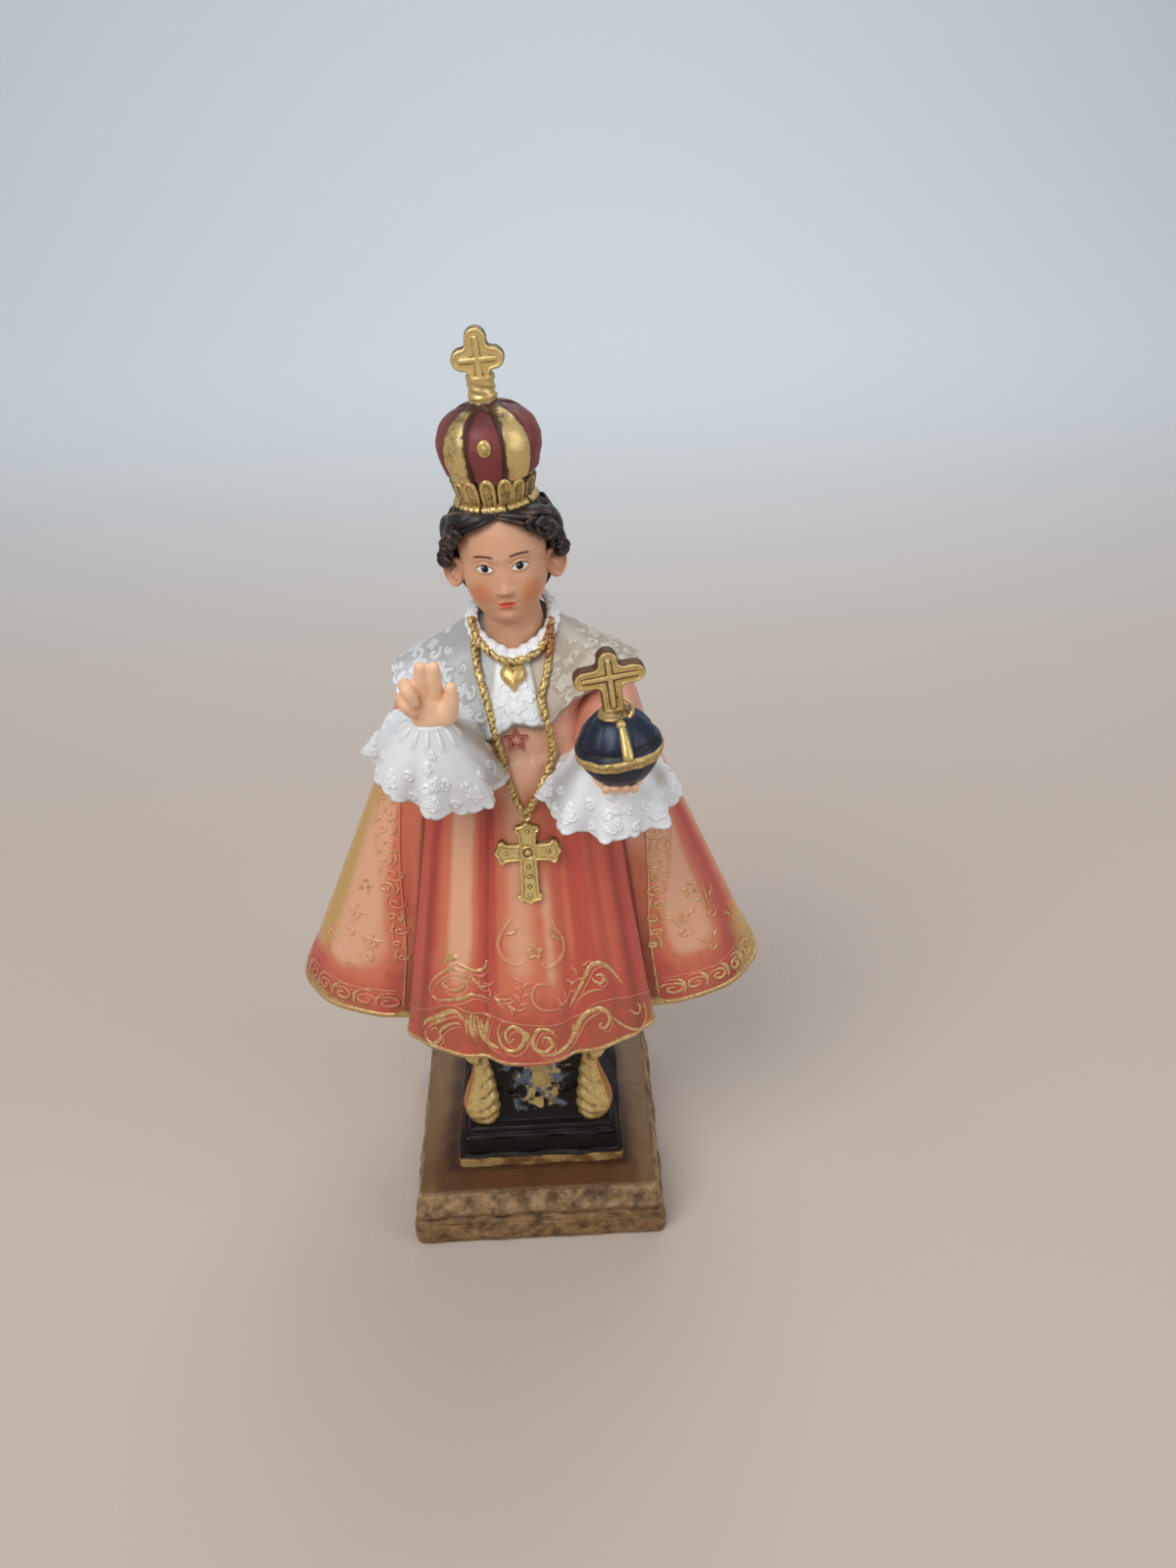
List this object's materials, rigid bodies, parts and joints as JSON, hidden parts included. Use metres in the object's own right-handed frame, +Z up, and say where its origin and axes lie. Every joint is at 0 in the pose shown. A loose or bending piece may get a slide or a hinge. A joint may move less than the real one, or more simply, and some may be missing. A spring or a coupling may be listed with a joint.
{
  "type": "infant of prague statuette",
  "caption": "Painted cast-resin statuette of a crowned child in gown and mantle, one hand blessing and one holding an orb, on a scrolled pedestal and square base.",
  "frame": {"origin": "centre of the base's flat underside", "axes": "+Z up, the figure faces -Y, and its left hand with the orb is on the +X side"},
  "size_m": [0.1032, 0.0706, 0.2],
  "materials": {
    "base_resin": "brown painted resin, dry-brushed with dull gold",
    "painted_resin": "hand-painted resin in coral, white, flesh, black and gold, satin"
  },
  "bodies": {
    "root": {"base": "base_resin", "statuette": "painted_resin"}
  },
  "joints": []
}
